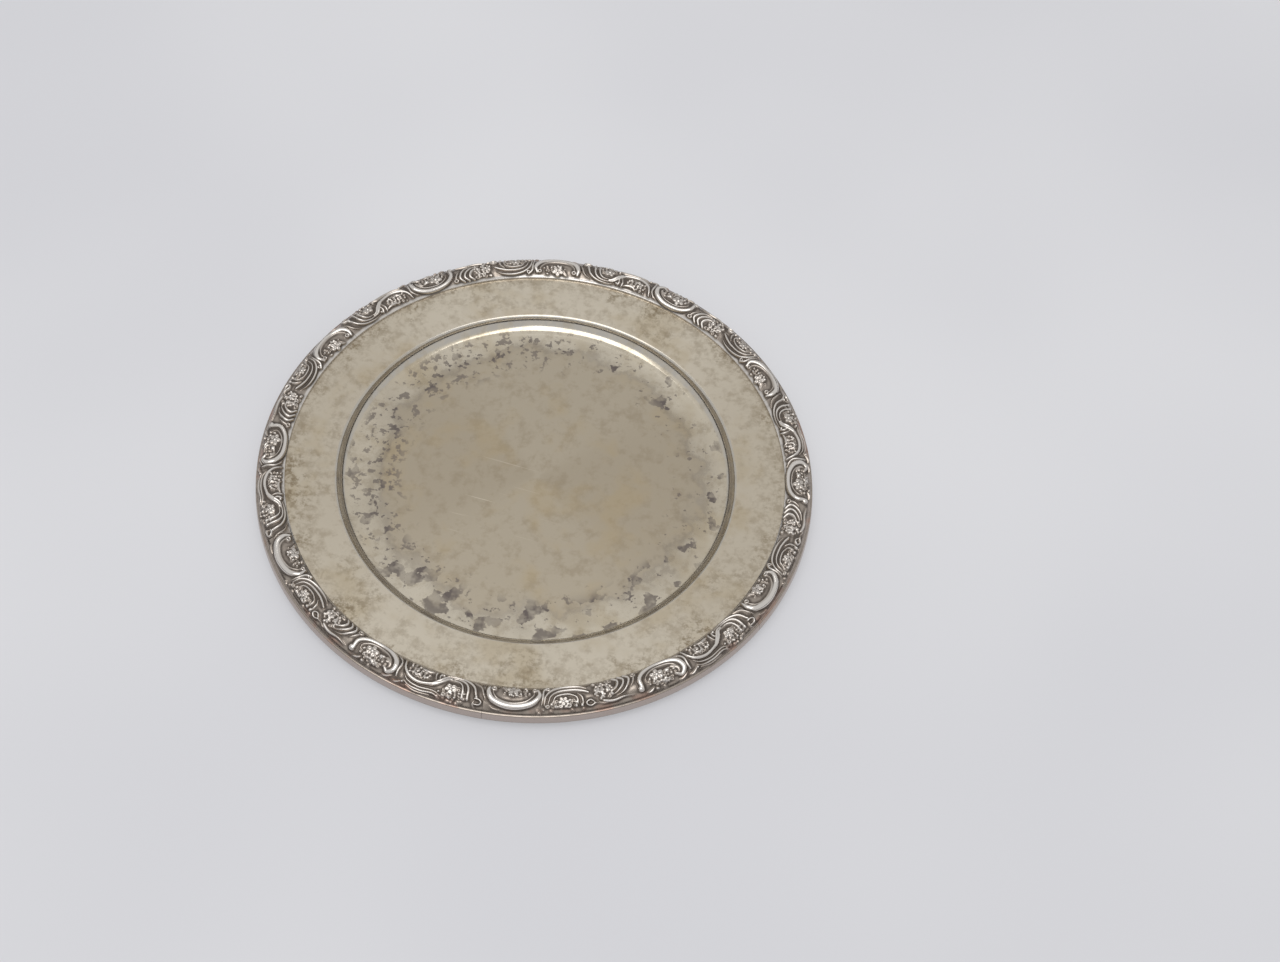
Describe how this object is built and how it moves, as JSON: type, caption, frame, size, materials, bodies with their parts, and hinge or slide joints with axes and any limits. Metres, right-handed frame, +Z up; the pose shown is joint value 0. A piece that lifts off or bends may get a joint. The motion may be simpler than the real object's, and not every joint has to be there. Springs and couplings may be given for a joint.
{
  "type": "coin tray",
  "caption": "Round silver-plated coin tray with a shallow well, a broad plain rim and a raised scroll-and-flower border.",
  "frame": {"origin": "middle of the face under the well, which the tray rests on", "axes": "+Z up along the tray's axis of symmetry; +X along the first side of the border pattern"},
  "size_m": [0.2, 0.2, 0.0104],
  "materials": {
    "silvered_sheet": "tarnished silver plate, satin",
    "silvered_border": "silver plate, bright on the high points and dark in the recesses",
    "silvered_wire": "silver-plated wire, satin",
    "soft_solder": "dull soft solder"
  },
  "bodies": {
    "root": {"dish": "silvered_sheet", "edge_wire": "silvered_wire", "border_strip_1": "silvered_border", "border_strip_2": "silvered_border", "border_strip_3": "silvered_border", "border_strip_4": "silvered_border", "border_strip_5": "silvered_border", "border_strip_6": "silvered_border", "solder_fill_1": "soft_solder", "solder_fill_2": "soft_solder", "solder_fill_3": "soft_solder", "solder_fill_4": "soft_solder", "solder_fill_5": "soft_solder", "solder_fill_6": "soft_solder"}
  },
  "joints": []
}
